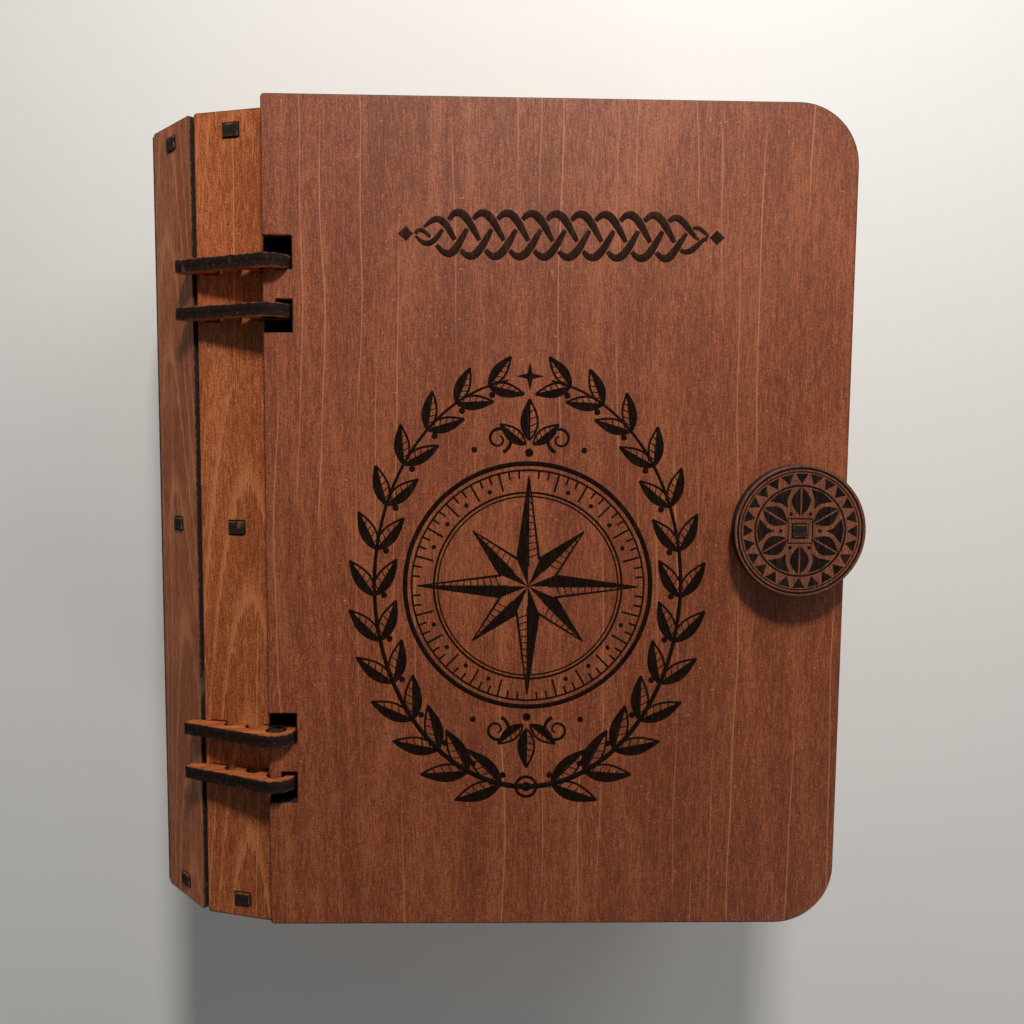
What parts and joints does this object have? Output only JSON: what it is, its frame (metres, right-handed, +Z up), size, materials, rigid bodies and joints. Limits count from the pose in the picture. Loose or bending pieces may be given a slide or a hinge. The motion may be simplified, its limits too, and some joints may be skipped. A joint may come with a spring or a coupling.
{
  "type": "book-shaped deck box",
  "caption": "Book-shaped plywood deck box with a faceted spine, a front cover swinging on strap hinges with integral pins, two card bays and a turning disc latch.",
  "frame": {"origin": "centre of the back cover's outer face, on which the box lies", "axes": "+Z up, out through the front cover; +Y towards the head of the book; +X from the spine to the fore edge"},
  "size_m": [0.1822, 0.2016, 0.0964],
  "materials": {
    "cover_board": "stained plywood, satin, with charred laser-cut edges",
    "case_board": "stained plywood, satin, with charred laser-cut edges",
    "slat_board": "stained plywood, satin, with charred laser-cut edges",
    "strap_board": "stained plywood, satin, with charred laser-cut edges",
    "latch_board": "stained plywood, satin, with charred laser-cut edges"
  },
  "bodies": {
    "case": {"back_cover": "cover_board", "foot_plate": "case_board", "middle_plate": "case_board", "head_plate": "case_board", "fore_edge_wall": "case_board", "spine_wall": "case_board", "spine_slat_1": "slat_board", "spine_slat_2": "slat_board", "spine_slat_3": "slat_board", "spine_slat_4": "slat_board", "spine_slat_5": "slat_board", "spine_slat_6": "slat_board", "hinge_strap_1": "strap_board", "hinge_strap_2": "strap_board", "hinge_strap_3": "strap_board", "hinge_strap_4": "strap_board"},
    "cover": {"front_cover": "cover_board"},
    "latch": {"latch_disc": "latch_board", "latch_spacer": "latch_board", "latch_washer": "latch_board", "latch_cam": "latch_board", "latch_shaft": "latch_board"}
  },
  "joints": [
    {"name": "cover_hinge", "type": "hinge", "parent": "case", "child": "cover", "pos_m": [-0.06865, 0, 0.0884], "axis": [0, -1, 0], "range_deg": [0, 125]},
    {"name": "latch_turn", "type": "hinge", "parent": "cover", "child": "latch", "pos_m": [0.05695, 0.0013, 0.0869], "axis": [0, 0, -1], "range_deg": [0, 90]}
  ]
}
